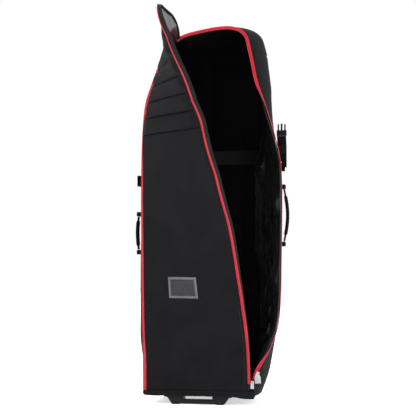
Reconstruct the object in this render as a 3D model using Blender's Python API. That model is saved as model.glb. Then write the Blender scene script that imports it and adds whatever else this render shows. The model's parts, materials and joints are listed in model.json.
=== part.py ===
"""Golf travel case, soft sided, standing on its front foot and two rear wheels, lid peeled open.

Metres, +Z up, the lid faces -Y. The case is drawn about its own middle plane, and every object is
then shifted by SHIFT, so that the origin is the bottom centre of the whole object's box.
"""
import math

import bmesh
import bpy
from mathutils import Matrix, Vector

# Driving dimensions
SHIFT = Vector((-0.02500, 0.17395, 0.0))
DEPTH_HALF = 0.150          # half of the case's depth, front rim to back edge
SHELL = 0.005               # padded fabric wall
GAP = 0.0005                # clearance between touching pieces
BOARD = 0.008               # stiff back panel
BASE_BOTTOM = 0.033
BASE_TOP = 0.044
WHEEL_RADIUS = 0.035
WHEEL_WIDTH = 0.024
WHEEL_X = 0.132
WHEEL_Y = 0.128
AXLE_RADIUS = 0.004
HUB_RADIUS = 0.022
BEARING_RADIUS = 0.011
HOUSING_TOP = 0.092

LID_HINGE = Vector((-0.190, -0.1605, 0.0))
LID_WIDTH = 0.372
LID_THICK = 0.005
LID_ZIP = 0.010
LID_GAP = 0.0012
# Each band of the lid: name, lowest and highest z, and how far it stands open in degrees.
LID_BANDS = (
    ("lid_lower_panel_1", 0.052, 0.330, 3.1),
    ("lid_lower_panel_2", 0.330, 0.620, 21.7),
    ("lid_lower_panel_3", 0.620, 0.920, 45.0),
    ("lid_quilted_panel_1", 0.920, 1.100, 48.9),
    ("lid_quilted_panel_2", 1.100, 1.280, 70.0),
)

# The shell's section lines up the right wall, over the top and down the left wall:
# (x, z) of the front rim, of the middle of the depth and of the back edge.
OUTLINE = (
    ((0.196, 0.034), (0.205, 0.034), (0.176, 0.040)),
    ((0.200, 0.100), (0.233, 0.110), (0.176, 0.110)),
    ((0.248, 0.205), (0.246, 0.210), (0.176, 0.210)),
    ((0.278, 0.300), (0.243, 0.300), (0.176, 0.300)),
    ((0.286, 0.500), (0.240, 0.500), (0.176, 0.500)),
    ((0.287, 0.780), (0.236, 0.780), (0.176, 0.780)),
    ((0.264, 0.908), (0.240, 0.910), (0.176, 0.910)),
    ((0.214, 1.062), (0.238, 1.070), (0.176, 1.070)),
    ((0.184, 1.200), (0.220, 1.208), (0.178, 1.215)),
    ((0.164, 1.262), (0.194, 1.283), (0.165, 1.278)),
    ((0.112, 1.287), (0.115, 1.306), (0.120, 1.296)),
    ((0.020, 1.279), (0.000, 1.297), (0.000, 1.298)),
    ((-0.066, 1.254), (-0.100, 1.280), (-0.120, 1.292)),
    ((-0.108, 1.195), (-0.150, 1.210), (-0.168, 1.235)),
    ((-0.150, 1.095), (-0.180, 1.100), (-0.176, 1.100)),
    ((-0.176, 1.000), (-0.200, 0.980), (-0.176, 0.980)),
    ((-0.186, 0.800), (-0.212, 0.780), (-0.176, 0.780)),
    ((-0.186, 0.500), (-0.225, 0.500), (-0.176, 0.500)),
    ((-0.183, 0.300), (-0.226, 0.300), (-0.176, 0.300)),
    ((-0.181, 0.205), (-0.224, 0.205), (-0.176, 0.205)),
    ((-0.180, 0.100), (-0.205, 0.110), (-0.176, 0.110)),
    ((-0.180, 0.046), (-0.182, 0.046), (-0.176, 0.046)),
)
RIGHT_ROWS = (0, 8)
TOP_ROWS = (8, 13)
LEFT_ROWS = (13, 21)

# Materials: colour, roughness, metallic
LOOKS = {
    "shell_fabric": ((0.020, 0.020, 0.024, 1), 0.85, 0.0),
    "lining_fabric": ((0.012, 0.012, 0.014, 1), 0.45, 0.0),
    "red_zip": ((0.65, 0.020, 0.040, 1), 0.60, 0.0),
    "webbing": ((0.010, 0.010, 0.011, 1), 0.80, 0.0),
    "moulded_plastic": ((0.015, 0.015, 0.016, 1), 0.45, 0.0),
    "tyre": ((0.020, 0.020, 0.020, 1), 0.75, 0.0),
    "steel": ((0.60, 0.60, 0.62, 1), 0.30, 1.0),
    "nickel_pull": ((0.75, 0.75, 0.76, 1), 0.25, 1.0),
    "clear_vinyl": ((0.20, 0.20, 0.21, 1), 0.15, 0.0),
}


def material(name):
    found = bpy.data.materials.get(name)
    if found:
        return found
    colour, roughness, metallic = LOOKS[name]
    made = bpy.data.materials.new(name)
    made.use_nodes = True
    shader = made.node_tree.nodes["Principled BSDF"]
    shader.inputs["Base Color"].default_value = colour
    shader.inputs["Roughness"].default_value = roughness
    shader.inputs["Metallic"].default_value = metallic
    return made


def add(name, bm, look, pivot=Vector()):
    """Make an object of bm, whose points are in the case's frame, with its origin on pivot."""
    bmesh.ops.recalc_face_normals(bm, faces=bm.faces)
    if bm.calc_volume(signed=True) < 0:
        bmesh.ops.reverse_faces(bm, faces=bm.faces)
    mesh = bpy.data.meshes.new(name)
    bm.to_mesh(mesh)
    bm.free()
    mesh.transform(Matrix.Translation(-pivot))
    mesh.materials.append(material(look))
    obj = bpy.data.objects.new(name, mesh)
    obj.location = pivot + SHIFT
    bpy.context.collection.objects.link(obj)
    return obj


def round_look(obj, angle=40):
    obj.data.shade_smooth()
    obj.data.set_sharp_from_angle(angle=math.radians(angle))
    return obj


def bevel(obj, width, segments=2):
    modifier = obj.modifiers.new("Bevel", "BEVEL")
    modifier.width = width
    modifier.segments = segments
    modifier.limit_method = "ANGLE"
    return obj


def cut(obj, cutter):
    cutter.hide_render = True
    cutter.display_type = "WIRE"
    modifier = obj.modifiers.new("Cut", "BOOLEAN")
    modifier.operation = "DIFFERENCE"
    modifier.object = cutter
    return obj


def spline(points, t):
    """A point on a Catmull-Rom curve through points, where t is the row number."""
    last = len(points) - 1
    i = min(int(t), last - 1)
    f = t - i
    ends = [points[min(max(i + k, 0), last)] for k in (-1, 0, 1, 2)]
    a, b, c, d = (Vector(p) for p in ends)
    near = (c - a) / 2
    far = (d - b) / 2
    return (
        b * (2 * f**3 - 3 * f**2 + 1)
        + near * (f**3 - 2 * f**2 + f)
        + c * (3 * f**2 - 2 * f**3)
        + far * (f**3 - f**2)
    )


def shell_point(row, depth):
    """A point of the shell's outside: row along OUTLINE, depth from 0 at the back to 1 at the rim."""
    front, middle, back = (spline([r[k] for r in OUTLINE], row) for k in range(3))
    flat = (
        back * (1 - depth) * (1 - 2 * depth)
        + middle * 4 * depth * (1 - depth)
        + front * depth * (2 * depth - 1)
    )
    return Vector((flat.x, DEPTH_HALF * (1 - 2 * depth), flat.y))


def shell_normal(row, depth):
    step = 0.01
    along = shell_point(min(row + step, 21), depth) - shell_point(max(row - step, 0), depth)
    across = shell_point(row, min(depth + step, 1)) - shell_point(row, max(depth - step, 0))
    return across.cross(along).normalized() * -1


def inner_point(row, depth):
    """The shell's inside, which stays between the back panel and the rim."""
    point = shell_point(row, depth) - shell_normal(row, depth) * SHELL
    point.y = max(-DEPTH_HALF, min(DEPTH_HALF, point.y))
    return point


def slab(outside, inside):
    """A closed solid between two equal grids of points."""
    bm = bmesh.new()
    rows = len(outside)
    columns = len(outside[0])
    grids = [[[bm.verts.new(p) for p in line] for line in grid] for grid in (outside, inside)]
    a, b = grids
    for i in range(rows - 1):
        for j in range(columns - 1):
            bm.faces.new((a[i][j], a[i + 1][j], a[i + 1][j + 1], a[i][j + 1]))
            bm.faces.new((b[i][j], b[i][j + 1], b[i + 1][j + 1], b[i + 1][j]))
    for i in range(rows - 1):
        for j in (0, columns - 1):
            bm.faces.new((a[i][j], b[i][j], b[i + 1][j], a[i + 1][j]))
    for j in range(columns - 1):
        for i in (0, rows - 1):
            bm.faces.new((a[i][j], a[i][j + 1], b[i][j + 1], b[i][j]))
    return bm


def steps(first, last, count):
    return [first + (last - first) * k / count for k in range(count + 1)]


def wall(name, rows, look="shell_fabric"):
    first, last = rows
    lines = steps(first + 0.008, last - 0.008, (last - first) * 3)
    depths = steps(0.0, 1.0, 8)
    outside = [[shell_point(r, d) for d in depths] for r in lines]
    inside = [[inner_point(r, d) for d in depths] for r in lines]
    return round_look(add(name, slab(outside, inside), look), 50)


def patch(name, rows, depths, lift, thick, look, pivot=Vector()):
    """A strip that lies on the shell's outside, from rows[0] to rows[1] and over depths."""
    lines = steps(rows[0], rows[1], 6)
    across = steps(depths[0], depths[1], 6)

    def grid(height):
        return [[shell_point(r, d) + shell_normal(r, d) * height for d in across] for r in lines]

    return add(name, slab(grid(lift + thick), grid(lift)), look, pivot)


def box(low, high):
    bm = bmesh.new()
    bmesh.ops.create_cube(bm, size=1)
    size = [h - l for l, h in zip(low, high)]
    centre = [(h + l) / 2 for l, h in zip(low, high)]
    bmesh.ops.scale(bm, vec=size, verts=bm.verts)
    bmesh.ops.translate(bm, vec=centre, verts=bm.verts)
    return bm


def extruded(points, direction):
    """A prism on the flat outline points, extruded along direction."""
    bm = bmesh.new()
    face = bm.faces.new([bm.verts.new(p) for p in points])
    moved = bmesh.ops.extrude_face_region(bm, geom=[face])
    fresh = [v for v in moved["geom"] if isinstance(v, bmesh.types.BMVert)]
    bmesh.ops.translate(bm, vec=direction, verts=fresh)
    return bm


def ring_x(centre, outer, inner, half, segments=32, crown=0.0):
    """A turned ring about the X axis; with inner 0 it is a solid rod."""
    bm = bmesh.new()
    profile = [(inner, -half), (outer - crown, -half), (outer, -half + crown)]
    profile += [(outer, half - crown), (outer - crown, half), (inner, half)]
    if crown == 0.0:
        profile = [(inner, -half), (outer, -half), (outer, half), (inner, half)]
    loops = []
    for radius, x in profile:
        if radius == 0.0:
            loops.append([bm.verts.new(centre + Vector((x, 0, 0)))])
            continue
        circle = []
        for k in range(segments):
            angle = 2 * math.pi * k / segments
            offset = Vector((x, radius * math.cos(angle), radius * math.sin(angle)))
            circle.append(bm.verts.new(centre + offset))
        loops.append(circle)
    pairs = list(zip(loops, loops[1:]))
    if inner > 0.0:
        pairs.append((loops[-1], loops[0]))
    for one, two in pairs:
        for k in range(segments):
            n = (k + 1) % segments
            if len(one) == 1:
                bm.faces.new((one[0], two[k], two[n]))
            elif len(two) == 1:
                bm.faces.new((one[k], two[0], one[n]))
            else:
                bm.faces.new((one[k], two[k], two[n], one[n]))
    return bm


def tube(name, points, radius, look, sides=8):
    """A round cord swept along points, with filled ends."""
    curve = bpy.data.curves.new(name, "CURVE")
    curve.dimensions = "3D"
    curve.bevel_depth = radius
    curve.bevel_resolution = sides // 4
    curve.use_fill_caps = True
    line = curve.splines.new("POLY")
    line.points.add(len(points) - 1)
    for place, point in zip(line.points, points):
        place.co = (*point, 1)
    curve.materials.append(material(look))
    obj = bpy.data.objects.new(name, curve)
    obj.location = SHIFT
    bpy.context.collection.objects.link(obj)
    return obj


# Case body
def case_shell():
    wall("right_wall", RIGHT_ROWS)
    wall("top_panel", TOP_ROWS)
    wall("left_wall", LEFT_ROWS)
    outline = []
    for row in steps(0.79, 20.21, 57):
        flat = spline([r[2] for r in OUTLINE], row)
        outline.append(Vector((flat.x, DEPTH_HALF + GAP, flat.y)))
    add("back_panel", extruded(outline, Vector((0, BOARD, 0))), "shell_fabric")


def base():
    low = (-0.180, -DEPTH_HALF, BASE_BOTTOM)
    high = (0.187, WHEEL_Y - 0.043, BASE_TOP)
    bevel(add("base_board", box(low, high), "moulded_plastic"), 0.002)
    inner = WHEEL_X - 0.036
    low = (-inner, WHEEL_Y - 0.0425, BASE_BOTTOM)
    high = (inner, DEPTH_HALF + BOARD, HOUSING_TOP)
    bevel(add("rear_kick_plate", box(low, high), "moulded_plastic"), 0.003)
    sill = box((-0.190, -0.1630, 0.029), (0.196, -0.1505, 0.0483))
    bevel(add("front_sill", sill, "shell_fabric"), 0.004)


def front_foot():
    """A moulded stand and grab bar, with a finger slot over the bar."""
    top = BASE_BOTTOM - GAP
    outline = [(-0.118, top), (-0.118, 0.026), (-0.106, 0.024), (-0.091, 0.002), (-0.087, 0.0)]
    outline += [(-0.068, 0.0), (-0.060, 0.0025)]
    outline += [(-x, z) for x, z in reversed(outline)]
    y = -0.146
    foot = add(
        "front_foot",
        extruded([Vector((x, y, z)) for x, z in outline], Vector((0, 0.040, 0))),
        "moulded_plastic",
    )
    cutter = add("foot_slot_cut", box((-0.050, y - 0.01, 0.0145), (0.050, y + 0.05, 0.0295)), "steel")
    bevel(cutter, 0.003, 3)
    cut(foot, cutter)


def wheel(side, sign):
    centre = Vector((sign * WHEEL_X, WHEEL_Y, WHEEL_RADIUS))
    half = WHEEL_WIDTH / 2
    round_look(add("tyre_" + side, ring_x(centre, WHEEL_RADIUS, HUB_RADIUS + GAP, half, 40, 0.005),
                   "tyre", centre))
    round_look(add("hub_" + side, ring_x(centre, HUB_RADIUS, BEARING_RADIUS + GAP, half - 0.002, 40),
                   "moulded_plastic", centre))
    round_look(add("bearing_" + side, ring_x(centre, BEARING_RADIUS, AXLE_RADIUS + GAP, 0.0045, 24),
                   "steel", centre))
    low = (centre.x - 0.03675 + sign * 0.00125, WHEEL_Y - 0.042, 0.026)
    high = (centre.x + 0.03675 + sign * 0.00125, DEPTH_HALF + BOARD, HOUSING_TOP)
    housing = add("wheel_housing_" + side, box(low, high), "moulded_plastic")
    low = (centre.x - 0.017, WHEEL_Y - 0.0385, 0.0)
    high = (centre.x + 0.017, DEPTH_HALF + 0.030, 0.0755)
    cut(housing, add("wheel_well_cut_" + side, box(low, high), "steel"))
    bore = add("axle_bore_cut_" + side, ring_x(centre, AXLE_RADIUS + GAP, 0.0, 0.030, 24), "steel")
    cut(housing, bore)
    pin = ring_x(centre, AXLE_RADIUS, 0.0, 0.0275, 24)
    round_look(add("axle_" + side, pin, "steel"))
    for end, y in (("front", -0.025), ("rear", 0.000)):
        place = centre + Vector((sign * 0.0393, y, 0.018))
        head = ring_x(place, 0.0045, 0.0, 0.0008, 16)
        round_look(add("housing_screw_%s_%s" % (end, side), head, "steel"))


# Lid: one soft panel, cut into bands that turn on the same line by different amounts
def lid_band(name, low, high, degrees, number):
    turn = Matrix.Rotation(-math.radians(degrees), 4, "Z")
    pivot = LID_HINGE
    zip_name = "lid_zip_tape_%d" % number
    z_low = low + LID_GAP / 2
    z_high = high - LID_GAP / 2
    inner = LID_WIDTH - LID_ZIP
    panel = box((0.002, -LID_THICK / 2, z_low), (inner - GAP, LID_THICK / 2, z_high))
    panel.transform(Matrix.Translation(pivot) @ turn)
    add(name, panel, "shell_fabric", pivot)
    tape = box((inner, -LID_THICK / 2, z_low), (LID_WIDTH, LID_THICK / 2, z_high))
    tape.transform(Matrix.Translation(pivot) @ turn)
    add(zip_name, tape, "red_zip", pivot)


def id_window():
    """A clear card pocket and its raised frame, on the lid's second band."""
    degrees = LID_BANDS[1][3]
    turn = Matrix.Translation(LID_HINGE) @ Matrix.Rotation(-math.radians(degrees), 4, "Z")
    front = -LID_THICK / 2 - GAP
    frame = box((0.108, front - 0.0025, 0.366), (0.216, front, 0.440))
    frame.transform(turn)
    frame = add("id_window_frame", frame, "moulded_plastic", LID_HINGE)
    hole = box((0.118, front - 0.02, 0.376), (0.206, front + 0.002, 0.430))
    hole.transform(turn)
    cut(frame, add("id_window_cut", hole, "steel"))
    pane = box((0.1185, front - 0.0012, 0.3765), (0.2055, front, 0.4295))
    pane.transform(turn)
    add("id_window_pane", pane, "clear_vinyl", LID_HINGE)


def zips():
    """The case's half of the zip round the top and the right, and the closed zip on the left."""
    forward = Vector((0, -0.0034, 0))
    rim = [shell_point(r, 1.0) + forward for r in steps(0.85, 13.7, 64)]
    tube("zip_tape_rim", rim, 0.0030, "red_zip")
    left = [shell_point(r, 1.0) + Vector((-0.0015, -0.0034, 0)) for r in steps(13.75, 20.9, 32)]
    tube("zip_left_closed", left, 0.0030, "red_zip")
    for name, rows in (("right_back_piping", (0.6, 8.0)), ("left_back_piping", (13.2, 20.4))):
        outside = []
        for row in steps(rows[0], rows[1], 30):
            edge = shell_point(row, 0.0)
            outside.append(edge + Vector((math.copysign(0.0045, edge.x), 0.0035, 0)))
        tube(name, outside, 0.0030, "red_zip")


def slider(name, centre, turn, pull_turn, size):
    """A zip slider with its bridge, and the pull tab that hangs on the bridge."""
    place = Matrix.Translation(centre) @ Matrix.Rotation(math.radians(turn), 4, "Y")
    body = box((-0.0055, -0.0035, -0.007), (0.0055, 0.0035, 0.007))
    body.transform(place)
    bevel(add(name + "_body", body, "nickel_pull", centre), 0.0012)
    hang = Matrix.Translation(centre) @ Matrix.Rotation(math.radians(pull_turn), 4, "Y")
    wide = 0.010 * size
    end = -0.033 * size
    outline = [(-0.004, 0.0), (0.004, 0.0), (wide, -0.010), (wide, end), (-wide, end), (-wide, -0.010)]
    pull = extruded([Vector((x, -0.0060, z)) for x, z in outline], Vector((0, 0.0018, 0)))
    pull.transform(hang)
    bevel(add(name + "_pull", pull, "nickel_pull", centre + Vector((0, -0.0051, 0))), 0.0006)


# Handles, straps and buckles
def carry_handle(side, sign, wall_x, stand_off, bulge, low, high):
    """Two sewn anchor tabs and the padded grip, which swings about the line through the tabs."""
    reach = wall_x + stand_off
    axis = Vector((sign * reach, 0.0, 0.0))
    for end, z in (("lower", low), ("upper", high)):
        arm_low = min(sign * (wall_x + 0.0025), sign * (reach + 0.004))
        arm_high = max(sign * (wall_x + 0.0025), sign * (reach + 0.004))
        tab = box((arm_low, -0.016, z - 0.008), (arm_high, 0.016, z + 0.008))
        bevel(add("handle_tab_%s_%s" % (end, side), tab, "webbing"), 0.003)
    span = high - low - 0.018
    path = []
    for f in steps(0.0, 1.0, 12):
        bow = bulge * math.sin(math.pi * f)
        path.append((f * span + low + 0.009, bow))
    outside = [[Vector((sign * (reach + b + 0.005), y, z)) for y in (-0.014, 0.014)] for z, b in path]
    inside = [[Vector((sign * (reach + b - 0.005), y, z)) for y in (-0.014, 0.014)] for z, b in path]
    bevel(add("handle_grip_" + side, slab(outside, inside), "webbing", axis), 0.003)


def right_strap():
    """The loose end of the outside strap: webbing, ladder lock and the buckle's male half."""
    low_x = 0.2585
    high_x = 0.2905
    y = -0.020
    pivot = Vector(((low_x + high_x) / 2, y, 0.8360))
    anchor = box((0.2495, y - 0.003, 0.8020), (high_x - 0.004, y + 0.003, 0.8330))
    bevel(add("strap_anchor_right", anchor, "webbing"), 0.001)
    web = box((low_x, y - 0.0012, 0.8350), (high_x, y + 0.0012, 0.9250))
    add("strap_webbing_right", web, "webbing", pivot)
    lock = box((low_x + 0.002, y - 0.0065, 0.8600), (high_x + 0.002, y - 0.0017, 0.8900))
    bevel(add("ladder_lock_right", lock, "moulded_plastic", pivot), 0.0015)
    body = box((low_x - 0.0010, y - 0.0045, 0.9255), (high_x + 0.0010, y + 0.0045, 0.9450))
    male = add("buckle_male", body, "moulded_plastic", pivot)
    middle = (low_x + high_x) / 2
    prongs = ((low_x + 0.0020, 0.005, 0.966), (middle - 0.003, 0.006, 0.968))
    prongs += ((high_x - 0.0070, 0.005, 0.966),)
    for number, (x, width, top) in enumerate(prongs):
        prong = box((x, y - 0.0025, 0.9400), (x + width, y + 0.0025, top))
        piece = add("buckle_prong_%d" % number, prong, "moulded_plastic", pivot)
        piece.hide_render = True
        piece.display_type = "WIRE"
        join = male.modifiers.new("Prong", "BOOLEAN")
        join.operation = "UNION"
        join.object = piece


def left_strap():
    """The strap on the left wall and the buckle's female half at its front end."""
    patch("strap_webbing_left", (16.02, 16.135), (0.02, 0.70), 0.0006, 0.0018, "webbing")
    at = shell_point(16.08, 0.78)
    body = box((at.x - 0.0150, at.y - 0.022, at.z - 0.019), (at.x - 0.0045, at.y + 0.022, at.z + 0.019))
    female = bevel(add("buckle_female", body, "moulded_plastic"), 0.002)
    hole = box((at.x - 0.0127, at.y - 0.030, at.z - 0.015), (at.x - 0.0067, at.y + 0.003, at.z + 0.015))
    cut(female, add("buckle_socket_cut", hole, "steel"))


def inner_strap():
    """The webbing band across the inside, which holds the golf bag."""
    rows = []
    for f in steps(0.0, 1.0, 16):
        x = -0.197 + f * 0.398
        rows.append((x, 0.040 - 0.080 * math.sin(math.pi * f) ** 0.8))
    outside = [[Vector((x, y, z)) for z in (0.828, 0.878)] for x, y in rows]
    inside = [[Vector((x, y + 0.0025, z)) for z in (0.828, 0.878)] for x, y in rows]
    add("inner_strap", slab(outside, inside), "webbing")


def main():
    for old in list(bpy.data.objects):
        bpy.data.objects.remove(old)
    case_shell()
    base()
    front_foot()
    for side, sign in (("left", -1), ("right", 1)):
        wheel(side, sign)
    for number, (name, low, high, degrees) in enumerate(LID_BANDS, 1):
        lid_band(name, low, high, degrees, number)
    id_window()
    zips()
    slider("slider_front", Vector((0.2075, -0.1600, 0.1120)), 25, -4, 1.0)
    slider("slider_rear", Vector((0.1900, -0.1600, 0.0800)), 12, 0, 0.6)
    carry_handle("right", 1, 0.2440, 0.0375, 0.012, 0.5490, 0.7490)
    carry_handle("left", -1, 0.2255, 0.014, 0.004, 0.5200, 0.6550)
    right_strap()
    left_strap()
    inner_strap()


main()
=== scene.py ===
"""Golf travel case with its lid peeled open: the visual model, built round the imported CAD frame."""
import json
import math

import bmesh
import bpy
import numpy as np
from mathutils import Matrix, Vector, noise


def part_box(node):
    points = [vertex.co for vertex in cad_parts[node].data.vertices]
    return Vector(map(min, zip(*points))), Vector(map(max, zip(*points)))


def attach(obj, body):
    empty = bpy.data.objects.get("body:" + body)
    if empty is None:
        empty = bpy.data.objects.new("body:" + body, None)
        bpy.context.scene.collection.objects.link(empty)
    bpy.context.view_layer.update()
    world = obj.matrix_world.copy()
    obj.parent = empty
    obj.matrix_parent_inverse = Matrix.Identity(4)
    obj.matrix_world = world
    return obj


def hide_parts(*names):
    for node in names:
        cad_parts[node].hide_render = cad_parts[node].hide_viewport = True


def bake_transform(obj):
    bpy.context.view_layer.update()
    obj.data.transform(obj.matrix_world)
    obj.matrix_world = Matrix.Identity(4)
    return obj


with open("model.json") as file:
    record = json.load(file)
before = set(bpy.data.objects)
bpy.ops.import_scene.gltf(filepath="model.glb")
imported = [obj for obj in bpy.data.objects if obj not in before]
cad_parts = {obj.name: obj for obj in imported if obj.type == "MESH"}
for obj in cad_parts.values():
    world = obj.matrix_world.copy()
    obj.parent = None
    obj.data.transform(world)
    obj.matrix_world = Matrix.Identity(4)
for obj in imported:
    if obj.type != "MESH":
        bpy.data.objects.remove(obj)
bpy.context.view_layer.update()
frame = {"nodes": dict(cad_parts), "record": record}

# The case's own frame: its middle plane, the middle of its depth and the floor
DEPTH_HALF = 0.150
BASE_LOW = Vector(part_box("base_board")[0])
FOOT_LOW, FOOT_HIGH = (Vector(c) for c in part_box("front_foot"))
MIDDLE_X = (FOOT_LOW.x + FOOT_HIGH.x) / 2
MIDDLE_Y = BASE_LOW.y + DEPTH_HALF

# The lid's closed edge, its size, and the heights where it starts, changes fabric and stops turning
LID_HINGE_X = -0.190
LID_HINGE_Y = -0.1605
LID_WIDTH = 0.372
LID_LOW = 0.052
LID_SEAM = 0.920
LID_TOP = 1.304
LID_FOLD_TOP = 1.280
LID_CORNER = 0.034
LOWER_OPEN = math.radians(45)
UPPER_OPEN = math.radians(25)
CHANNEL = 0.054
ZIP_WIDTH = 0.0078

# (x, z) of the shell at the rim, at half its depth and at the back, from the bottom right over the top
OUTLINE = (
    ((0.196, 0.034), (0.205, 0.034), (0.176, 0.040)),
    ((0.200, 0.100), (0.233, 0.110), (0.176, 0.110)),
    ((0.248, 0.205), (0.246, 0.210), (0.176, 0.210)),
    ((0.278, 0.300), (0.243, 0.300), (0.176, 0.300)),
    ((0.286, 0.500), (0.240, 0.500), (0.176, 0.500)),
    ((0.287, 0.780), (0.236, 0.780), (0.176, 0.780)),
    ((0.264, 0.908), (0.240, 0.910), (0.176, 0.910)),
    ((0.214, 1.062), (0.238, 1.070), (0.176, 1.070)),
    ((0.184, 1.200), (0.220, 1.208), (0.178, 1.215)),
    ((0.164, 1.262), (0.194, 1.283), (0.165, 1.278)),
    ((0.112, 1.287), (0.115, 1.306), (0.120, 1.296)),
    ((0.020, 1.279), (0.000, 1.297), (0.000, 1.298)),
    ((-0.066, 1.254), (-0.100, 1.280), (-0.120, 1.292)),
    ((-0.108, 1.195), (-0.150, 1.210), (-0.168, 1.235)),
    ((-0.150, 1.095), (-0.180, 1.100), (-0.176, 1.100)),
    ((-0.176, 1.000), (-0.200, 0.980), (-0.176, 0.980)),
    ((-0.186, 0.800), (-0.212, 0.780), (-0.176, 0.780)),
    ((-0.186, 0.500), (-0.225, 0.500), (-0.176, 0.500)),
    ((-0.183, 0.300), (-0.226, 0.300), (-0.176, 0.300)),
    ((-0.181, 0.205), (-0.224, 0.205), (-0.176, 0.205)),
    ((-0.180, 0.100), (-0.205, 0.110), (-0.176, 0.110)),
    ((-0.180, 0.046), (-0.182, 0.046), (-0.176, 0.046)),
)
LAST_ROW = len(OUTLINE) - 1
CORNER_SEAMS = (8.0, 13.0)


# ---------------------------------------------------------------- shapes
def smooth(t):
    t = np.clip(t, 0, 1)
    return t * t * (3 - 2 * t)


def bump(value, low, high, soft):
    """1 between low and high, falling to 0 over soft on either side."""
    return smooth((value - low) / soft + 1) * smooth((high - value) / soft + 1)


def spline(points, t):
    """Points on the Catmull-Rom curve through points, where t counts the rows."""
    points = np.asarray(points, float)
    last = len(points) - 1
    t = np.asarray(t, float)
    i = np.clip(t.astype(int), 0, last - 1)
    f = (t - i)[..., None]
    a, b, c, d = (points[np.clip(i + k, 0, last)] for k in (-1, 0, 1, 2))
    near, far = (c - a) / 2, (d - b) / 2
    return (
        b * (2 * f**3 - 3 * f**2 + 1)
        + near * (f**3 - 2 * f**2 + f)
        + c * (3 * f**2 - 2 * f**3)
        + far * (f**3 - f**2)
    )


def shell_points(row, depth):
    """The shell's outside: row along OUTLINE, depth from 0 at the back to 1 at the rim."""
    front, middle, back = (spline([r[k] for r in OUTLINE], row) for k in range(3))
    s = np.asarray(depth, float)[..., None]
    flat = back * (1 - s) * (1 - 2 * s) + middle * 4 * s * (1 - s) + front * s * (2 * s - 1)
    y = DEPTH_HALF * (1 - 2 * s[..., 0])
    return np.stack([flat[..., 0], y + 0 * flat[..., 0], flat[..., 1]], axis=-1)


def shell_normals(row, depth):
    step = 0.01
    row, depth = np.broadcast_arrays(np.asarray(row, float), np.asarray(depth, float))
    high, low = np.minimum(row + step, LAST_ROW), np.maximum(row - step, 0)
    along = shell_points(high, depth) - shell_points(low, depth)
    near, far = np.minimum(depth + step, 1), np.maximum(depth - step, 0)
    across = shell_points(row, near) - shell_points(row, far)
    normal = np.cross(along, across)
    return normal / np.linalg.norm(normal, axis=-1, keepdims=True)


def lean(z):
    """How far the lid's closed edge leans to the right where the case's top corner is pulled in."""
    return spline(
        ((0.0,), (0.0,), (0.012,), (0.040,), (0.084,), (0.122,), (0.134,)),
        np.interp(z, (0.80, 0.93, 1.00, 1.10, 1.195, 1.254, 1.31), range(7)),
    )[..., 0]


def lid_angle(z):
    """How far the lid has turned open at height z, with the slack of its cloth."""
    lower = smooth((z - LID_LOW) / (LID_SEAM - LID_LOW))
    upper = smooth((z - LID_SEAM) / (LID_FOLD_TOP - LID_SEAM))
    slack = np.interp(z, (0.05, 0.33, 0.45, 0.62, 0.77, 0.88, 1.00, 1.12, 1.20, 1.29),
                      (0.0, 2.0, 0.0, -2.5, -2.5, 0.0, 3.0, 0.5, -1.5, 0.0))
    return LOWER_OPEN * lower + UPPER_OPEN * upper + np.radians(slack)


def lid_edge(z):
    """The lid's width at height z, with its rounded top corner."""
    into = np.clip(z - (LID_TOP - LID_CORNER), 0, LID_CORNER)
    bow = 0.009 * bump(z, 0.62, 0.74, 0.20) - 0.006 * bump(z, 0.98, 1.02, 0.08)
    return LID_WIDTH + bow - (LID_CORNER - np.sqrt(np.maximum(LID_CORNER**2 - into**2, 0)))


def lid_points(r, z, lift):
    """Points on the peeled lid: r from its closed edge, at height z, lift off its outer face."""
    r, z, lift = np.broadcast_arrays(*(np.asarray(v, float) for v in (r, z, lift)))
    angle = lid_angle(z)
    z = z - 0.052 * np.clip(1 - r / 0.20, 0, 1) ** 2 * smooth((z - 1.10) / (LID_TOP - 1.10))
    share = np.clip(1 - r / LID_WIDTH, 0, 1)
    hang = np.interp(z, (0.05, 0.35, 0.80, 1.00, 1.12, 1.22, 1.30),
                     (0.0, 0.005, 0.007, 0.008, 0.0, -0.003, -0.006))
    out = lift + hang * np.sin(np.pi * np.clip(r / LID_WIDTH, 0, 1))
    x = LID_HINGE_X + r * np.cos(angle) + lean(z) * share**1.2 - out * np.sin(angle)
    y = LID_HINGE_Y - r * np.sin(angle) - out * np.cos(angle)
    return np.stack([x, y, z + 0 * x], axis=-1)


def wander(points, scale, seed):
    """Smooth noise at each point, between about -1 and 1."""
    flat = points.reshape(-1, 3)
    offset = Vector((seed * 7.3, seed * 3.1, seed * 5.7))
    values = [noise.noise(Vector((p[0] * scale[0], p[1] * scale[1], p[2] * scale[2])) + offset)
              for p in flat]
    return np.array(values).reshape(points.shape[:-1])


# ---------------------------------------------------------------- making objects
def finish_object(name, bm, look, smooth_angle=40):
    bmesh.ops.recalc_face_normals(bm, faces=bm.faces)
    bmesh.ops.translate(bm, vec=(MIDDLE_X, MIDDLE_Y, 0), verts=bm.verts)
    mesh = bpy.data.meshes.new(name)
    bm.to_mesh(mesh)
    bm.free()
    mesh.shade_smooth()
    mesh.set_sharp_from_angle(angle=math.radians(smooth_angle))
    mesh.materials.append(look)
    obj = bpy.data.objects.new(name, mesh)
    bpy.context.collection.objects.link(obj)
    return obj


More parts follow.
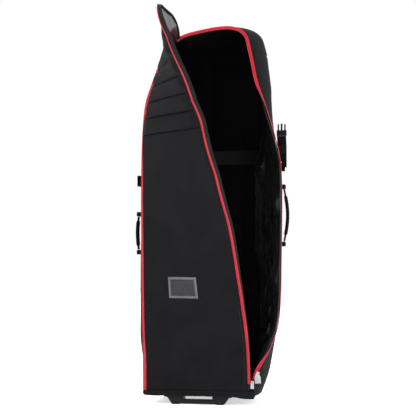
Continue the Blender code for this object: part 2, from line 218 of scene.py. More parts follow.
def slab(name, outside, inside, look, smooth_angle=40):
    """A closed solid between two equal grids of points."""
    bm = bmesh.new()
    rows, columns = outside.shape[:2]
    a, b = ([[bm.verts.new(p) for p in line] for line in grid] for grid in (outside, inside))
    for i in range(rows - 1):
        n = i + 1
        for j in range(columns - 1):
            bm.faces.new((a[i][j], a[n][j], a[n][j + 1], a[i][j + 1]))
            bm.faces.new((b[i][j], b[i][j + 1], b[n][j + 1], b[n][j]))
        for j in (0, columns - 1):
            bm.faces.new((a[i][j], b[i][j], b[n][j], a[n][j]))
    for j in range(columns - 1):
        for i in (0, rows - 1):
            bm.faces.new((a[i][j], a[i][j + 1], b[i][j + 1], b[i][j]))
    return finish_object(name, bm, look, smooth_angle)


def swept(name, rings, look, smooth_angle=50):
    """A closed skin over rings, an array of (ring, point, 3), with both ends filled."""
    bm = bmesh.new()
    made = [[bm.verts.new(p) for p in ring] for ring in rings]
    count = len(made[0])
    for one, two in zip(made, made[1:]):
        for k in range(count):
            n = (k + 1) % count
            bm.faces.new((one[k], two[k], two[n], one[n]))
    bm.faces.new(made[0])
    bm.faces.new(made[-1])
    return finish_object(name, bm, look, smooth_angle)


def unit(v):
    return v / np.maximum(np.linalg.norm(v, axis=-1, keepdims=True), 1e-9)


def ribbon(name, centre, side, out, width, thick, look, crown=0.0):
    """A flat band along centre, as wide as width along side, with a crowned outer face."""
    shape = [(-0.5, 0.0), (-0.5, 0.75), (-0.42, 1.0), (0.0, 1.0 + crown), (0.42, 1.0), (0.5, 0.75)]
    shape += [(0.5, 0.0)]
    rings = np.stack([centre + side * width * a + out * thick * b for a, b in shape], axis=1)
    return swept(name, rings, look)


def coil(name, centre, side, out, radius, pitch, look):
    """A zip's coil: a small cord whose turns stand out as ribs."""
    run = np.concatenate([[0], np.cumsum(np.linalg.norm(np.diff(centre, axis=0), axis=1))])
    count = int(run[-1] / pitch * 2)
    at = np.linspace(0, run[-1], count)
    points, across, up = (np.stack([np.interp(at, run, v[:, k]) for k in range(3)], 1)
                          for v in (centre, side, out))
    size = radius * np.where(np.arange(count) % 2 == 0, 1.0, 0.72)[:, None]
    rings = []
    sides = 6
    for k in range(sides):
        angle = math.pi * 2 * k / sides
        rings.append(points + (across * math.cos(angle) * 1.3 + up * math.sin(angle)) * size)
    return swept(name, np.stack(rings, axis=1), look, 60)


def rounded_box(name, low, high, radius, look):
    bm = bmesh.new()
    bmesh.ops.create_cube(bm, size=1)
    low, high = Vector(low), Vector(high)
    bmesh.ops.scale(bm, vec=high - low, verts=bm.verts)
    bmesh.ops.translate(bm, vec=(high + low) / 2, verts=bm.verts)
    bmesh.ops.bevel(bm, geom=bm.edges, offset=radius, segments=4, profile=0.5, affect="EDGES")
    return finish_object(name, bm, look)


# ---------------------------------------------------------------- materials
def new_look(name):
    made = bpy.data.materials.new(name)
    made.use_nodes = True
    return made, made.node_tree.nodes, made.node_tree.links, made.node_tree.nodes["Principled BSDF"]


def node(nodes, kind, **values):
    made = nodes.new(kind)
    for key, value in values.items():
        if hasattr(made, key):
            setattr(made, key, value)
        else:
            made.inputs[key.replace("_", " ")].default_value = value
    return made


def colours(nodes, links, factor, dark, light, low=0.3, high=0.7):
    """A blend from dark to light as factor goes from low to high."""
    ramp = nodes.new("ShaderNodeValToRGB")
    ramp.color_ramp.elements[0].position = low
    ramp.color_ramp.elements[1].position = high
    ramp.color_ramp.elements[0].color = (*dark, 1)
    ramp.color_ramp.elements[1].color = (*light, 1)
    links.new(factor, ramp.inputs[0])
    return ramp.outputs[0]


def woven(name, dark, light, roughness, thread, depth, sheen, gloss):
    """A plain weave: crossed threads for the bump, broad noise for the wear and the dye."""
    made, nodes, links, shader = new_look(name)
    place = nodes.new("ShaderNodeTexCoord")
    waves = []
    for axis in ("X", "Y", "Z"):
        wave = node(nodes, "ShaderNodeTexWave", bands_direction=axis, Scale=0.314 / thread,
                    Distortion=0.6, Detail=1.0)
        links.new(place.outputs["Object"], wave.inputs["Vector"])
        waves.append(wave.outputs["Fac"])
    first = node(nodes, "ShaderNodeMath", operation="MULTIPLY")
    links.new(waves[0], first.inputs[0])
    links.new(waves[2], first.inputs[1])
    weave = node(nodes, "ShaderNodeMath", operation="MULTIPLY_ADD")
    links.new(waves[1], weave.inputs[0])
    weave.inputs[1].default_value = 0.5
    links.new(first.outputs[0], weave.inputs[2])
    broad = node(nodes, "ShaderNodeTexNoise", Scale=9.0, Detail=6.0, Roughness=0.6)
    fine = node(nodes, "ShaderNodeTexNoise", Scale=420.0, Detail=2.0)
    for n in (broad, fine):
        links.new(place.outputs["Object"], n.inputs["Vector"])
    mix = node(nodes, "ShaderNodeMath", operation="MULTIPLY_ADD")
    links.new(fine.outputs["Fac"], mix.inputs[0])
    mix.inputs[1].default_value = 0.35
    links.new(broad.outputs["Fac"], mix.inputs[2])
    links.new(colours(nodes, links, mix.outputs[0], dark, light, 0.45, 0.95), shader.inputs["Base Color"])
    height = node(nodes, "ShaderNodeBump", Strength=depth, Distance=0.0006)
    links.new(weave.outputs[0], height.inputs["Height"])
    links.new(height.outputs[0], shader.inputs["Normal"])
    rough = node(nodes, "ShaderNodeMapRange", From_Min=0.3, From_Max=0.7)
    rough.inputs["To Min"].default_value = roughness - 0.07
    rough.inputs["To Max"].default_value = roughness + 0.07
    links.new(broad.outputs["Fac"], rough.inputs["Value"])
    links.new(rough.outputs[0], shader.inputs["Roughness"])
    shader.inputs["Sheen Weight"].default_value = sheen
    shader.inputs["Sheen Roughness"].default_value = 0.45
    shader.inputs["Specular IOR Level"].default_value = gloss
    return made


def moulded(name, dark, light, roughness, grain=900.0, depth=0.12, metallic=0.0, coat=0.0, gloss=0.5):
    """Moulded plastic, rubber or metal: a fine grain, and smudges in the gloss."""
    made, nodes, links, shader = new_look(name)
    place = nodes.new("ShaderNodeTexCoord")
    broad = node(nodes, "ShaderNodeTexNoise", Scale=22.0, Detail=5.0)
    fine = node(nodes, "ShaderNodeTexNoise", Scale=grain, Detail=3.0)
    for n in (broad, fine):
        links.new(place.outputs["Object"], n.inputs["Vector"])
    links.new(colours(nodes, links, broad.outputs["Fac"], dark, light), shader.inputs["Base Color"])
    rough = node(nodes, "ShaderNodeMapRange", From_Min=0.3, From_Max=0.7)
    rough.inputs["To Min"].default_value = roughness - 0.06
    rough.inputs["To Max"].default_value = roughness + 0.08
    links.new(broad.outputs["Fac"], rough.inputs["Value"])
    links.new(rough.outputs[0], shader.inputs["Roughness"])
    height = node(nodes, "ShaderNodeBump", Strength=depth, Distance=0.0003)
    links.new(fine.outputs["Fac"], height.inputs["Height"])
    links.new(height.outputs[0], shader.inputs["Normal"])
    shader.inputs["Metallic"].default_value = metallic
    shader.inputs["Coat Weight"].default_value = coat
    shader.inputs["Specular IOR Level"].default_value = gloss
    return made


LOOKS = {
    "shell": woven("shell_fabric_look", (0.0030, 0.0030, 0.0036), (0.0075, 0.0075, 0.0090), 0.70,
                   thread=0.0009, depth=0.35, sheen=0.004, gloss=0.05),
    "lining": woven("lining_look", (0.0010, 0.0010, 0.0013), (0.0030, 0.0030, 0.0035), 0.32,
                    thread=0.0005, depth=0.12, sheen=0.01, gloss=0.85),
    # The back lining is the same black nylon, painted darker than the rest of the lining as painted shade
    # for the shadowed inside back.
    "back": woven("back_lining_painted_shade_look", (0.0008, 0.0008, 0.0010), (0.0022, 0.0022, 0.0025), 0.60,
                  thread=0.0005, depth=0.12, sheen=0.004, gloss=0.05),
    "red": woven("red_zip_look", (0.26, 0.003, 0.011), (0.50, 0.012, 0.026), 0.60,
                 thread=0.0007, depth=0.40, sheen=0.02, gloss=0.15),
    "coil": moulded("red_coil_look", (0.22, 0.003, 0.008), (0.34, 0.007, 0.015), 0.40),
    "web": woven("webbing_look", (0.0020, 0.0020, 0.0024), (0.0050, 0.0050, 0.0055), 0.75,
                 thread=0.0016, depth=0.6, sheen=0.004, gloss=0.05),
    "tape": woven("black_tape_look", (0.0030, 0.0030, 0.0035), (0.0075, 0.0075, 0.0085), 0.75,
                  thread=0.0008, depth=0.4, sheen=0.03, gloss=0.15),
    "plastic": moulded("moulded_plastic_look", (0.0020, 0.0020, 0.0024), (0.0045, 0.0045, 0.0050), 0.42,
                       gloss=0.15),
    "tread": moulded("tread_look", (0.006, 0.006, 0.006), (0.014, 0.014, 0.014), 0.70,
                     grain=500.0, depth=0.3, gloss=0.2),
    "steel": moulded("steel_look", (0.28, 0.28, 0.29), (0.42, 0.42, 0.43), 0.34,
                     grain=1400.0, depth=0.05, metallic=1.0),
    "nickel": moulded("nickel_look", (0.24, 0.24, 0.25), (0.42, 0.42, 0.43), 0.34,
                      grain=1800.0, depth=0.03, metallic=1.0),
    "vinyl": moulded("clear_vinyl_look", (0.010, 0.010, 0.011), (0.020, 0.020, 0.022), 0.26,
                     grain=90.0, depth=0.25, gloss=0.20),
    "frame": moulded("vinyl_frame_look", (0.030, 0.030, 0.032), (0.060, 0.060, 0.064), 0.32,
                     grain=90.0, depth=0.25, coat=0.2),
    "thread": woven("thread_look", (0.030, 0.030, 0.034), (0.060, 0.060, 0.066), 0.65,
                    thread=0.0006, depth=0.5, sheen=0.05, gloss=0.3),
}


# ---------------------------------------------------------------- the shell
def shell_skin():
    """The outside of both walls and the top, one skin with seams at the top corners."""
    rows = np.linspace(0.02, LAST_ROW - 0.02, 330)
    depths = np.linspace(0.0, 1.0, 48)
    t, s = np.meshgrid(rows, depths, indexing="ij")
    base = shell_points(t, s)
    normal = shell_normals(t, s)
    slack = np.sin(np.pi * s) ** 0.7
    fold = wander(base, (5.0, 5.0, 5.0), 1) * 0.0035 + wander(base, (16.0, 16.0, 9.0), 2) * 0.0016
    corner = bump(t, 7.2, 8.6, 0.8) + bump(t, 12.6, 13.8, 0.8)
    pucker = wander(base, (30.0, 14.0, 30.0), 3) * 0.0014 * corner
    seam = 0.0
    for at in CORNER_SEAMS:
        seam = seam - 0.0026 * np.exp(-(((t - at) / 0.028) ** 2))
        seam = seam + 0.0012 * np.exp(-((np.abs(t - at) - 0.085) / 0.04) ** 2)
    hem = -0.0010 * np.exp(-(((s - 0.955) / 0.006) ** 2)) - 0.0010 * np.exp(-(((s - 0.03) / 0.006) ** 2))
    lift = (fold + pucker) * slack + seam * bump(s, 0.05, 0.95, 0.05) + hem
    outside = base + normal * lift[..., None]
    inside = base - normal * 0.0024
    for grid in (outside, inside):
        grid[..., 1] = np.clip(grid[..., 1], -DEPTH_HALF, DEPTH_HALF)
    skin = slab("shell_skin", outside, inside, LOOKS["shell"], 60)
    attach(skin, "case")
    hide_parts("right_wall", "top_panel", "left_wall")


def shell_lining():
    """The nylon lining, loose and creased on the slumped right wall, padded in channels near the top."""
    rows = np.linspace(0.05, LAST_ROW - 0.05, 420)
    depths = np.linspace(0.012, 0.996, 90)
    t, s = np.meshgrid(rows, depths, indexing="ij")
    base = shell_points(t, s)
    normal = shell_normals(t, s)
    z = base[..., 2]
    right = smooth((8.4 - t) / 0.8)
    loose = right * bump(z, 0.16, 0.90, 0.14) * smooth((1.0 - s) / 0.06) * smooth(s / 0.10)
    warp = wander(base, (6.0, 9.0, 3.0), 4)
    ridge = 1 - np.abs(wander(base, (8.0, 22.0, 3.0), 5) + warp * 0.35)
    fine = 1 - np.abs(wander(base, (16.0, 44.0, 6.5), 6) + warp * 0.3)
    tug = 1 - np.abs(wander(base, (14.0, 18.0, 20.0), 7))
    folds = 0.018 * np.clip(ridge, 0, 1) ** 5 + 0.0055 * np.clip(fine, 0, 1) ** 4
    folds = folds + 0.0030 * np.clip(tug, 0, 1) ** 6
    padded = bump(z, 0.98, 1.17, 0.03) * smooth((s - 0.10) / 0.08) * smooth((0.95 - s) / 0.05)
    channels = 0.0055 * np.abs(np.sin(np.pi * z / CHANNEL)) ** 0.55 * padded
    calm = wander(base, (7.0, 7.0, 7.0), 8) * 0.0022 + 0.0022
    inward = 0.0040 + folds * loose + channels * (1 - loose) + calm * smooth((1 - s) / 0.1)
    face = base - normal * inward[..., None]
    back = base - normal * 0.0027
    for grid in (face, back):
        grid[..., 1] = np.clip(grid[..., 1], -DEPTH_HALF + 0.0005, DEPTH_HALF - 0.0005)
    lining = slab("shell_lining", back, face, LOOKS["lining"], 70)
    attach(lining, "case")


def back_outline(inset):
    """The back panel's outline, drawn in by inset towards its middle."""
    rows = np.linspace(0.79, LAST_ROW - 0.77, 150)
    points = spline([r[2] for r in OUTLINE], rows)
    middle = np.array([0.0, 0.66])
    toward = unit(middle - points)
    return points + toward * inset


def back_panel():
    """The stiff back: padded fabric over a board, with a sewn border."""
    rings = []
    insets = np.concatenate([[0.0, 0.0008, 0.003, 0.007, 0.010, 0.013], np.linspace(0.02, 0.165, 40)])
    lifts = np.interp(insets, (0.0, 0.0008, 0.003, 0.010, 0.0115, 0.013),
                      (-0.0075, -0.004, -0.001, 0, -0.0012, 0))
    for inset, lift in zip(insets, lifts):
        flat = back_outline(inset)
        y = np.full(len(flat), DEPTH_HALF + 0.0085 + lift)
        rings.append(np.stack([flat[:, 0], y, flat[:, 1]], axis=1))
    rings = np.array(rings)
    pad = wander(rings, (6.0, 1.0, 6.0), 11) * 0.0008
    inner = smooth((np.array(insets) - 0.014) / 0.01)[:, None]
    rings[..., 1] += pad * inner - 0.0010 * inner
    under = rings[0].copy()
    under[:, 1] = DEPTH_HALF + 0.0006
    bm = bmesh.new()
    made = [[bm.verts.new(p) for p in ring] for ring in [under, *rings]]
    for one, two in zip(made, made[1:]):
        for k in range(len(one)):
            n = (k + 1) % len(one)
            bm.faces.new((one[k], two[k], two[n], one[n]))
    bm.faces.new(made[0])
    bm.faces.new(made[-1])
    panel = finish_object("back_panel_cover", bm, LOOKS["shell"])
    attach(panel, "case")
    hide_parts("back_panel")


def back_lining():
    """The quilted lining on the inside of the back board, with painted shade: its black is darker than the
    other lining's, for the shadowed inside of the case.
    """
    x = np.linspace(-0.168, 0.168, 60)
    z = np.linspace(0.093, 1.262, 200)
    zz, xx = np.meshgrid(z, x, indexing="ij")
    narrow = np.interp(zz, (1.15, 1.262), (1.0, 0.78))
    xx = xx * narrow
    puff = 0.004 * np.abs(np.sin(np.pi * zz / 0.11)) ** 0.5 * np.abs(np.sin(np.pi * xx / 0.112)) ** 0.5
    face = np.stack([xx, DEPTH_HALF - 0.0020 - puff, zz], axis=-1)
    rear = np.stack([xx, np.full_like(xx, DEPTH_HALF - 0.0006), zz], axis=-1)
    lining = slab("back_lining", rear, face, LOOKS["back"], 70)
    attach(lining, "case")


# ---------------------------------------------------------------- zips and piping
def rim_path(low, high, count, forward, outward):
    """Points along the rim between two rows, with the directions into the case and forward."""
    rows = np.linspace(low, high, count)
    points = shell_points(rows, np.ones(count))
    tangent = unit(np.gradient(points, axis=0))
    front = np.tile([0.0, -1.0, 0.0], (count, 1))
    side = unit(np.cross(front, tangent))
    inside = np.array([0.0, 0.0, 0.62]) - points
    side = side * np.sign((side * inside).sum(axis=1, keepdims=True))
    points = points + front * forward - side * outward
    return points, side, front


def zips():
    """The case's half of the zip, the closed zip on the left, and the piping on the back edges."""
    start, end, count = 0.85, 12.15, 420
    rows = np.linspace(start, end, count)
    facing, inward, front = rim_path(start, end, count, 0.0006, -0.0022)
    outward = shell_normals(rows, np.full(count, 0.99))
    on_wall = shell_points(rows, np.full(count, 0.975)) + outward * 0.0010
    turned = (bump(rows, 2.0, 6.6, 0.9) * math.pi / 2)[:, None]
    centre = facing + (on_wall - facing) * np.sin(turned) ** 2
    side = unit(inward * np.cos(turned) + front * np.sin(turned))
    out = unit(front * np.cos(turned) + outward * np.sin(turned))
    tape = ribbon("rim_zip_tape", centre, side, out, ZIP_WIDTH, 0.0020, LOOKS["red"], 0.3)
    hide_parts("zip_tape_rim")
    teeth = coil("rim_zip_coil", centre + side * 0.0056 + out * 0.0012, side, out, 0.0014, 0.0024,
                 LOOKS["coil"])
    centre, side, front = rim_path(11.9, 20.9, 340, 0.0002, -0.0008)
    border = ribbon("left_zip_border", centre, side, front, 0.0075, 0.0095, LOOKS["tape"])
    centre, side, front = rim_path(13.2, 20.9, 300, 0.0102, 0.0020)
    left = ribbon("left_zip_tape", centre, side, front, ZIP_WIDTH + 0.0045, 0.0022, LOOKS["red"],
                  0.2)
    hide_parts("zip_left_closed")
    closed = coil("left_zip_coil", centre + front * 0.0028, side, front, 0.0017, 0.0026, LOOKS["coil"])
    pieces = [tape, teeth, border, left, closed]
    count = 200
    for name, low, high in (("right_back_piping", 0.6, 8.0), ("left_back_piping", 13.2, 20.4)):
        edge = shell_points(np.linspace(low, high, count), np.zeros(count))
        sign = np.sign(edge[:, :1])
        centre = edge + np.concatenate([sign * 0.0045, np.full((count, 1), 0.0035), 0 * sign], axis=1)
        side = np.tile([1.0, 0.0, 0.0], (count, 1))
        out = np.tile([0.0, 1.0, 0.0], (count, 1))
        cord = coil(name + "_cord", centre, side / 1.3, out, 0.0031, 0.0200, LOOKS["red"])
        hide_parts(name)
        pieces.append(cord)
    for piece in pieces:
        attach(piece, "case")


# ---------------------------------------------------------------- the lid
def lid_panel(name, low, high, rows, quilted):
    """One half of the lid's cloth: sewn channels of padding when quilted, else a loose plain weave."""
    z = np.linspace(low, high, rows)
    u = np.linspace(0.0, 1.0, 90)
    zz, uu = np.meshgrid(z, u, indexing="ij")
    edge = lid_edge(zz)
    r = 0.002 + uu * (edge - 0.002 - ZIP_WIDTH * 0.7)
    flat = np.stack([r, 0 * r, zz], axis=-1)
    round_over = smooth((1 - uu) / 0.03) * smooth(uu / 0.02)
    if quilted:
        channel = np.abs(np.sin(np.pi * (zz - LID_SEAM) / CHANNEL)) ** 0.5 * smooth((1.245 - zz) / 0.05)
        lift = 0.0120 * channel * smooth(uu / 0.14) * smooth((1 - uu) / 0.10)
        lift = lift + wander(flat, (18.0, 1.0, 40.0), 21) * 0.0010 * round_over
    else:
        broad = wander(flat, (5.0, 1.0, 4.0), 22) * 0.0030
        drag = wander(flat, (16.0, 1.0, 7.0), 23) * 0.0011
        foot = smooth((0.20 - zz) / 0.15) * wander(flat, (22.0, 1.0, 9.0), 24) * 0.0028
        lift = (broad + drag + foot) * round_over
    seam = -0.0016 * np.exp(-(((1 - uu) - 0.020) / 0.004) ** 2)
    seam = seam - 0.0012 * np.exp(-((uu - 0.018) / 0.004) ** 2)
    hollow = -0.0022 * np.exp(-((zz - LID_SEAM) / 0.0016) ** 2)
    outside = lid_points(r, zz, 0.0022 * round_over + lift + seam + hollow)
    crease = wander(flat, (11.0, 1.0, 12.0), 25) * 0.0016 * round_over
    inside = lid_points(r, zz, -0.0024 + crease)
    return slab(name, outside, inside, LOOKS["shell"], 60)


def lid_lining(name, low, high, rows):
    """The nylon lining on the lid's inside, creased where it isn't held by the border."""
    zz, uu = np.meshgrid(np.linspace(low, high, rows), np.linspace(0.0, 1.0, 70), indexing="ij")
    border = 0.016
    r = border + uu * (lid_edge(zz) - 2 * border)
    flat = np.stack([r, 0 * r, zz], axis=-1)
    held = smooth(uu / 0.05) * smooth((1 - uu) / 0.05)
    ridge = np.clip(1 - np.abs(wander(flat, (9.0, 1.0, 14.0), 41)), 0, 1) ** 4
    slack = (0.0035 * ridge + 0.0012) * held + 0.0020
    return slab(name, lid_points(r, zz, -0.0036), lid_points(r, zz, -0.0036 - slack), LOOKS["lining"],
                70)


def lid_edge_path(low, high, count, top_from=None):
    """(r, z) along the lid's free edge, round its corner and back along the top when top_from is set."""
    straight = np.linspace(low, min(high, LID_TOP - LID_CORNER), count)
    r, z = [lid_edge(straight)], [straight]
    if top_from is not None:
        turn = np.linspace(0, math.pi / 2, 22)[1:]
        r.append(LID_WIDTH - LID_CORNER + LID_CORNER * np.cos(turn))
        z.append(LID_TOP - LID_CORNER + LID_CORNER * np.sin(turn))
        along = np.linspace(LID_WIDTH - LID_CORNER, top_from, 50)[1:]
        r.append(along)
        z.append(np.full(len(along), LID_TOP))
    return np.concatenate(r), np.concatenate(z)


def lid_frame(r, z, lift):
    """Points on the lid's edge, with the directions into the panel and out of its face."""
    points = lid_points(r, z, lift)
    flat = np.stack([r, z], axis=1)
    tangent = unit(np.gradient(flat, axis=0))
    into = np.stack([-tangent[:, 1], tangent[:, 0]], axis=1)
    step = 0.001
    inner = lid_points(r + into[:, 0] * step, z + into[:, 1] * step, lift)
    side = unit(inner - points)
    out = unit(lid_points(r, z, lift + step) - points)
    return points, side, out


def lid_edge_pieces(tag, low, high, count, top_from=None):
    """The lid's half of the zip: red tape, coil, and the black band turned in behind it."""
    r, z = lid_edge_path(low, high, count, top_from)
    points, side, out = lid_frame(r, z, np.full(len(r), 0.0008))
    on_top = z > LID_TOP - 0.001
    red = (z > 0.0735) & ((r > 0.300) | ~on_top)
    plain = (z < 0.0740) | ((r < 0.309) & on_top)
    hem = ribbon("lid_edge_hem_" + tag, points[plain] + side[plain] * ZIP_WIDTH * 0.5, side[plain],
                 out[plain], ZIP_WIDTH, 0.0024, LOOKS["tape"], 0.3)
    tape = ribbon("lid_zip_tape_" + tag, points[red] + side[red] * ZIP_WIDTH * 0.5, side[red], out[red],
                  ZIP_WIDTH, 0.0024, LOOKS["red"], 0.3)
    teeth = coil("lid_zip_coil_" + tag, points[red] + out[red] * 0.0012, side[red], out[red], 0.0014,
                 0.0024, LOOKS["coil"])
    width = np.interp(np.arange(len(r)), (count - 10, count + 14), (0.016, 0.010))[:, None]
    band = ribbon("lid_edge_band_" + tag, points - out * (width * 0.5 + 0.0006) + side * 0.0006, out, side,
                  width, 0.0022, LOOKS["tape"], 0.2)
    return [tape, teeth, band, hem]


def stitches(tag, low, high, inset):
    """A row of stitches beside the zip, each one a short raised bead."""
    pitch, length = 0.0042, 0.0026
    bm = bmesh.new()
    for height in np.arange(low, high, pitch):
        r = float(lid_edge(height)) - inset
        a, b = lid_points(r, np.array([height, height + length]), 0.0030)
        middle, along = (a + b) / 2, unit(b - a)
        out = unit(lid_points(r, height, 0.004) - lid_points(r, height, 0.003))
        side = np.cross(along, out)
        basis = Matrix((side, out, along)).transposed().to_4x4()
        made = bmesh.ops.create_cube(bm, size=1)["verts"]
        bmesh.ops.scale(bm, vec=(0.0006, 0.0005, 0.0027), verts=made)
        bmesh.ops.transform(bm, matrix=Matrix.Translation(Vector(middle)) @ basis, verts=made)
    return finish_object("lid_stitches_" + tag, bm, LOOKS["thread"])


def lid():
    """Both halves of the lid, each turning smoothly further open with height."""
    lower = lid_panel("lid_lower_cloth", LID_LOW, LID_SEAM, 260, False)
    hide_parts("lid_lower_panel_1", "lid_lower_panel_2", "lid_lower_panel_3")
    low_pieces = [lower, *lid_edge_pieces("lower", LID_LOW + 0.004, LID_SEAM, 300)]
    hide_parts("lid_zip_tape_1", "lid_zip_tape_2", "lid_zip_tape_3")
    low_pieces.append(lid_lining("lid_lower_lining", LID_LOW + 0.006, LID_SEAM, 150))
    low_pieces += [stitches("lower", LID_LOW + 0.01, LID_SEAM - 0.004, 0.0165), *id_window()]
    upper = lid_panel("lid_quilted_cloth", LID_SEAM, LID_TOP - 0.006, 190, True)
    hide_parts("lid_quilted_panel_1", "lid_quilted_panel_2")
    high_pieces = [upper, *lid_edge_pieces("upper", LID_SEAM, LID_TOP, 110, 0.006)]
    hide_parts("lid_zip_tape_4", "lid_zip_tape_5")
    high_pieces.append(lid_lining("lid_upper_lining", LID_SEAM, LID_TOP - 0.012, 110))
    for piece in low_pieces:
        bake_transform(piece)
    for piece in high_pieces:
        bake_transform(piece)


def id_window():
    """The clear card pocket: a glossy sheet under a welded frame, following the lid."""
    low_r, high_r, low_z, high_z = 0.106, 0.214, 0.366, 0.438
    border, gap, stand_off = 0.0085, 0.0004, 0.0028

    def patch(name, r0, r1, z0, z1, lift, thick, look, ripple):
        z = np.linspace(z0, z1, 24)
        r = np.linspace(r0, r1, 32)
        zz, rr = np.meshgrid(z, r, indexing="ij")
        flat = np.stack([rr, 0 * rr, zz], axis=-1)
        wave = wander(flat, (40.0, 1.0, 30.0), 31) * ripple
        edge = np.minimum.reduce([(rr - r0), (r1 - rr), (zz - z0), (z1 - zz)])
        crown = smooth(edge / 0.002)
        top = lid_points(rr, zz, lift + thick * (0.4 + 0.6 * crown) + wave)
        return slab(name, top, lid_points(rr, zz, lift), look, 50)

    bars = []
    spans = {
        "bottom": (low_r, high_r, low_z, low_z + border),
        "top": (low_r, high_r, high_z - border, high_z),
        "left": (low_r, low_r + border, low_z + border, high_z - border),
        "right": (high_r - border, high_r, low_z + border, high_z - border),
    }
    for name, (r0, r1, z0, z1) in spans.items():
        bars.append(patch("id_frame_" + name, r0, r1, z0, z1, stand_off, 0.0026, LOOKS["frame"],
                          0.0))
    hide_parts("id_window_frame")
    inset = border + gap
    pane = patch("id_pane", low_r + inset, high_r - inset, low_z + inset, high_z - inset, stand_off,
                 0.0010, LOOKS["vinyl"], 0.0005)
    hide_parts("id_window_pane")
    return [*bars, pane]


# ---------------------------------------------------------------- handles and straps
def handle(side, sign, wall_x, stand_off, bulge, low, high):
    """The padded carry grip with its stitched wrap, and the webbing tabs that hold it."""
    reach = wall_x + stand_off
    z = np.linspace(low + 0.0095, high - 0.0095, 90)
    f = (z - z[0]) / (z[-1] - z[0])
    bow = bulge * np.sin(np.pi * f)
    pad = smooth((f - 0.10) / 0.06) * smooth((0.90 - f) / 0.06)
    ribs = 1 + 0.03 * np.sin(f * 90) * pad
    half_w = (0.0105 + 0.0040 * pad) * ribs
    half_t = (0.0032 + 0.0026 * pad) * ribs
    rings = []
    for k in range(20):
        angle = 2 * math.pi * k / 20
        c, s = math.cos(angle), math.sin(angle)
        c, s = (math.copysign(abs(v) ** 0.75, v) for v in (c, s))
        x = sign * (reach + bow + half_t * c)
        rings.append(np.stack([x, half_w * s, z], axis=1))
    grip = swept("carry_grip_" + side, np.stack(rings, axis=1), LOOKS["web"])
    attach(grip, "handle_" + side)
    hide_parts("handle_grip_" + side)
    for end, at in (("lower", low), ("upper", high)):
        low_x = min(sign * (wall_x + 0.0020), sign * (reach + 0.0045))
        high_x = max(sign * (wall_x + 0.0020), sign * (reach + 0.0045))
        tab = rounded_box("carry_tab_%s_%s" % (end, side), (low_x, -0.0165, at - 0.0082),
                          (high_x, 0.0165, at + 0.0082), 0.0032, LOOKS["web"])
        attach(tab, "case")
        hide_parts("handle_tab_%s_%s" % (end, side))


def loose_strap():
    """The loose end of the outside strap on the right, with its tail hanging from the ladder lock."""
    low, high = (Vector(c) - Vector((MIDDLE_X, MIDDLE_Y, 0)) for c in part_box("strap_webbing_right"))
    count, tail_count = 50, 24
    z = np.linspace(low.z, high.z, count)
    middle = (low + high) / 2
    centre = np.stack([np.full(count, middle.x), np.full(count, middle.y), z], axis=1)
    centre[:, 0] += 0.0012 * np.sin((z - low.z) * 40)
    side = np.tile([1.0, 0.0, 0.0], (count, 1))
    out = np.tile([0.0, -1.0, 0.0], (count, 1))
    web = ribbon("loose_strap_webbing", centre + out * -0.0011, side, out, high.x - low.x, 0.0020,
                 LOOKS["web"], 0.15)
    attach(web, "strap_right")
    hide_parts("strap_webbing_right")
    z = np.linspace(0.858, 0.815, tail_count)
    tail = np.stack([centre[0, 0] + 0.010 + 0 * z, centre[0, 1] - 0.0085 + 0 * z, z], axis=1)
    end = ribbon("loose_strap_tail", tail, side[:tail_count], out[:tail_count], 0.017, 0.0016,
                 LOOKS["web"])
    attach(end, "strap_right")


def left_strap():
    """The outside strap's other end, flat on the left wall."""
    middle, half = 16.0775, 0.0575
    t, s = np.meshgrid(np.linspace(middle - half, middle + half, 14), np.linspace(0.02, 0.70, 60),
                       indexing="ij")
    base, normal = shell_points(t, s), shell_normals(t, s)
    band = slab("left_strap_webbing", base + normal * 0.0056, base + normal * 0.0038, LOOKS["web"])
    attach(band, "case")
    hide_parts("strap_webbing_left")


def inner_strap():
    """The band across the inside, bowed forward as round a bag, and sagging a little."""
    count = 90
    f = np.linspace(0.0, 1.0, count)
    x = -0.197 + f * 0.398
    y = 0.040 - 0.080 * np.sin(np.pi * f) ** 0.8 + 0.0012
    sag = -0.007 * np.sin(np.pi * f) ** 2
    path = np.stack([x, y, 0.855 + sag], axis=1)
    tangent = unit(np.gradient(path, axis=0))
    up = np.tile([0.0, 0.0, 1.0], (count, 1))
    front = unit(np.cross(up, tangent))
    front = front * np.sign(-front[:, 1:2])
    inner = ribbon("inner_band", path, up, front, 0.049, 0.0024, LOOKS["web"], 0.1)
    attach(inner, "case")
    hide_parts("inner_strap")


def floor_pad():
    """The padded lining on the case's floor, cut to the walls."""
    count, inset = 24, 0.0062
    y = np.linspace(-0.148, 0.084, count)
    depth = (1 - y / DEPTH_HALF) / 2
    right = shell_points(np.full(count, 0.16), depth)[:, 0] - inset
    left = shell_points(np.full(count, LAST_ROW - 0.12), depth)[:, 0] + inset
    f = np.linspace(0, 1, 60)
    x = left[None, :] + f[:, None] * (right - left)[None, :]
    yy = np.broadcast_to(y, x.shape)
    puff = 0.0040 * np.abs(np.sin(np.pi * x / 0.09) * np.sin(np.pi * yy / 0.09)) ** 0.5
    top = np.stack([x, yy, 0.0475 + puff], axis=-1)
    low = np.stack([x, yy, np.full_like(x, 0.0446)], axis=-1)
    pad = slab("floor_pad", top, low, LOOKS["lining"], 70)
    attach(pad, "case")


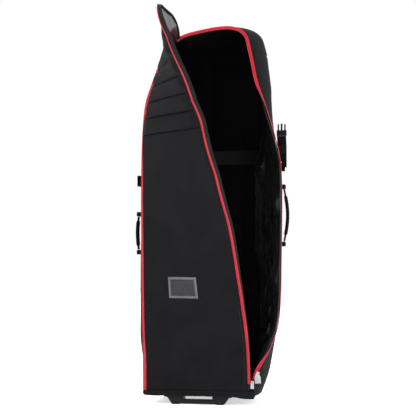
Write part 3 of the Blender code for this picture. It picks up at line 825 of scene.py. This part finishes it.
def front_boot():
    """The padded roll of fabric along the bottom of the front, rumpled at its right end."""
    x = np.linspace(-0.1895, 0.1985, 130)
    f = (x - x[0]) / (x[-1] - x[0])
    end = np.sqrt(np.clip(1 - (np.abs(f - 0.5) * 2) ** 60, 0.10, 1))
    soft = smooth((x - 0.10) / 0.08)
    rings = []
    for k in range(24):
        angle = 2 * math.pi * k / 24
        c, s = (math.copysign(abs(v) ** 0.6, v) for v in (math.cos(angle), math.sin(angle)))
        place = np.stack([x, np.full_like(x, c * 0.01), np.full_like(x, s * 0.01)], axis=1)
        swell = 1 + wander(place, (28.0, 60.0, 60.0), 51) * (0.10 + 0.22 * soft)
        y = -0.1568 - 0.0058 * c * end * np.clip(swell, 0.8, 1.15)
        z = 0.0412 - 0.0030 * soft + (0.0108 + 0.0030 * soft) * s * end * np.clip(swell, 0.8, 1.06)
        rings.append(np.stack([x, y, z], axis=1))
    roll = swept("front_boot", np.stack(rings, axis=1), LOOKS["shell"], 70)
    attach(roll, "case")
    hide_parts("front_sill")


def cad_finishes():
    """Better materials for the CAD parts whose shapes stay."""
    looks = {
        "moulded_plastic": LOOKS["plastic"],
        "tyre": LOOKS["tread"],
        "steel": LOOKS["steel"],
        "nickel_pull": LOOKS["nickel"],
        "webbing": LOOKS["web"],
        "shell_fabric": LOOKS["shell"],
        "red_zip": LOOKS["red"],
        "clear_vinyl": LOOKS["vinyl"],
    }
    slots = {s["node"]: s["material_slot"] for s in frame["record"]["subparts"]}
    for name, obj in frame["nodes"].items():
        look = looks[slots[name]]
        for place in obj.material_slots:
            place.material = look


# ---------------------------------------------------------------- studio
def studio():
    """A white floor and world, with three soft lamps."""
    bm = bmesh.new()
    bmesh.ops.create_grid(bm, x_segments=2, y_segments=2, size=9.0)
    mesh = bpy.data.meshes.new("studio_floor")
    bm.to_mesh(mesh)
    bm.free()
    floor = bpy.data.objects.new("studio_floor", mesh)
    floor_look, _, _, shader = new_look("studio_floor_look")
    shader.inputs["Base Color"].default_value = (0.93, 0.93, 0.93, 1)
    shader.inputs["Roughness"].default_value = 0.9
    shader.inputs["Emission Color"].default_value = (1, 1, 1, 1)
    shader.inputs["Emission Strength"].default_value = 0.55
    mesh.materials.append(floor_look)
    bpy.context.collection.objects.link(floor)
    world = bpy.data.worlds.new("studio_world")
    world.use_nodes = True
    world.node_tree.nodes["Background"].inputs["Color"].default_value = (1, 1, 1, 1)
    world.node_tree.nodes["Background"].inputs["Strength"].default_value = 1.0
    bpy.context.scene.world = world
    bpy.context.scene.view_settings.view_transform = "Standard"
    lamps = (
        ("key", (-1.9, -3.2, 2.4), 1.8, 95.0),
        ("fill", (3.0, -2.2, 1.5), 2.0, 60.0),
        ("top", (0.2, -0.6, 3.4), 1.6, 55.0),
    )
    for name, place, size, power in lamps:
        lamp = bpy.data.lights.new("studio_" + name, "AREA")
        lamp.size = size
        lamp.energy = power
        obj = bpy.data.objects.new("studio_" + name, lamp)
        obj.location = place
        aim = Vector((0.0, 0.0, 0.7)) - Vector(place)
        obj.rotation_euler = aim.to_track_quat("-Z", "Y").to_euler()
        bpy.context.collection.objects.link(obj)


def camera():
    """A long lens low down, ten degrees round to the right."""
    azimuth = math.radians(10)
    distance, height = 4.0, 0.55
    lens = bpy.data.cameras.new("studio_camera")
    lens.sensor_width = 36.0
    lens.lens = 101.423
    lens.shift_x = 0.02524
    lens.shift_y = 0.08593
    lens.clip_end = 50
    obj = bpy.data.objects.new("studio_camera", lens)
    target = Vector((MIDDLE_X, MIDDLE_Y - DEPTH_HALF, height))
    obj.location = target + Vector((math.sin(azimuth), -math.cos(azimuth), 0)) * distance
    obj.rotation_euler = (math.pi / 2, 0, azimuth)
    bpy.context.collection.objects.link(obj)
    bpy.context.scene.camera = obj


camera()
shell_skin()
shell_lining()
back_panel()
back_lining()
zips()
lid()
handle("right", 1, 0.2440, 0.0375, 0.012, 0.5490, 0.7490)
handle("left", -1, 0.2255, 0.014, 0.004, 0.5200, 0.6550)
loose_strap()
left_strap()
inner_strap()
floor_pad()
front_boot()
cad_finishes()
studio()
